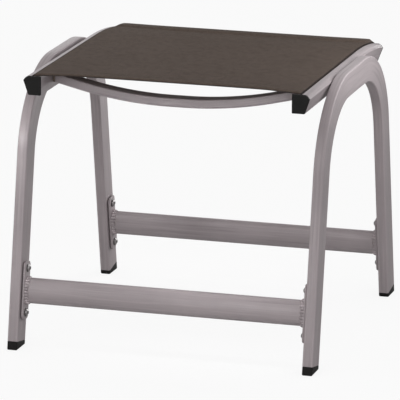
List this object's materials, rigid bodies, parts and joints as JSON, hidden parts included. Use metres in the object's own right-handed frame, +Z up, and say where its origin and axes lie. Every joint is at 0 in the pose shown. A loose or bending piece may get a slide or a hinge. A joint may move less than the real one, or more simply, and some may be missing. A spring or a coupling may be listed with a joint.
{
  "type": "outdoor ottoman footstool",
  "caption": "Low outdoor footstool: a taut mesh sling between slotted side rails, carried on two bent flat-tube leg frames tied by oval stretchers.",
  "frame": {"origin": "on the ground under the middle of the stool", "axes": "+X to the stool's right side, +Y to its back, where the rails drop, +Z up"},
  "size_m": [0.476, 0.5014, 0.4216],
  "materials": {
    "powder_coat": "satin powder coat, warm mauve grey, on aluminium tube",
    "sling_mesh": "woven vinyl-coated polyester mesh, dark brown grey",
    "edge_rod": "plain extruded plastic rod inside the sling's edge pockets",
    "black_plastic": "moulded black plastic, fine texture",
    "bolt_steel": "grey coated steel button heads",
    "nut_steel": "zinc plated steel rivet nuts"
  },
  "bodies": {
    "root": {"sling_panel": "sling_mesh", "sling_rod_right": "edge_rod", "sling_rod_left": "edge_rod", "seat_rail_right": "powder_coat", "seat_rail_left": "powder_coat", "leg_frame_right": "powder_coat", "leg_frame_left": "powder_coat", "foot_cap_front_right": "black_plastic", "foot_cap_front_left": "black_plastic", "foot_cap_rear_right": "black_plastic", "foot_cap_rear_left": "black_plastic", "rail_end_cap_front_right": "black_plastic", "rail_end_cap_front_left": "black_plastic", "spreader_bar_front": "powder_coat", "spreader_plug_front_right": "black_plastic", "spreader_plug_front_left": "black_plastic", "stretcher_front": "powder_coat", "stretcher_plate_front_right": "powder_coat", "stretcher_plate_front_left": "powder_coat", "stretcher_bolt_front_upper_right": "bolt_steel", "stretcher_bolt_front_upper_left": "bolt_steel", "rivet_nut_front_upper_right": "nut_steel", "rivet_nut_front_upper_left": "nut_steel", "stretcher_bolt_front_lower_right": "bolt_steel", "stretcher_bolt_front_lower_left": "bolt_steel", "rivet_nut_front_lower_right": "nut_steel", "rivet_nut_front_lower_left": "nut_steel", "rail_bolt_front_right": "bolt_steel", "rail_bolt_front_left": "bolt_steel", "rail_rivet_nut_front_right": "nut_steel", "rail_rivet_nut_front_left": "nut_steel", "rail_saddle_front_right": "black_plastic", "rail_saddle_front_left": "black_plastic", "rail_end_cap_rear_right": "black_plastic", "rail_end_cap_rear_left": "black_plastic", "spreader_bar_rear": "powder_coat", "spreader_plug_rear_right": "black_plastic", "spreader_plug_rear_left": "black_plastic", "stretcher_rear": "powder_coat", "stretcher_plate_rear_right": "powder_coat", "stretcher_plate_rear_left": "powder_coat", "stretcher_bolt_rear_upper_right": "bolt_steel", "stretcher_bolt_rear_upper_left": "bolt_steel", "rivet_nut_rear_upper_right": "nut_steel", "rivet_nut_rear_upper_left": "nut_steel", "stretcher_bolt_rear_lower_right": "bolt_steel", "stretcher_bolt_rear_lower_left": "bolt_steel", "rivet_nut_rear_lower_right": "nut_steel", "rivet_nut_rear_lower_left": "nut_steel", "rail_bolt_rear_right": "bolt_steel", "rail_bolt_rear_left": "bolt_steel", "rail_rivet_nut_rear_right": "nut_steel", "rail_rivet_nut_rear_left": "nut_steel", "rail_saddle_rear_right": "black_plastic", "rail_saddle_rear_left": "black_plastic"}
  },
  "joints": []
}
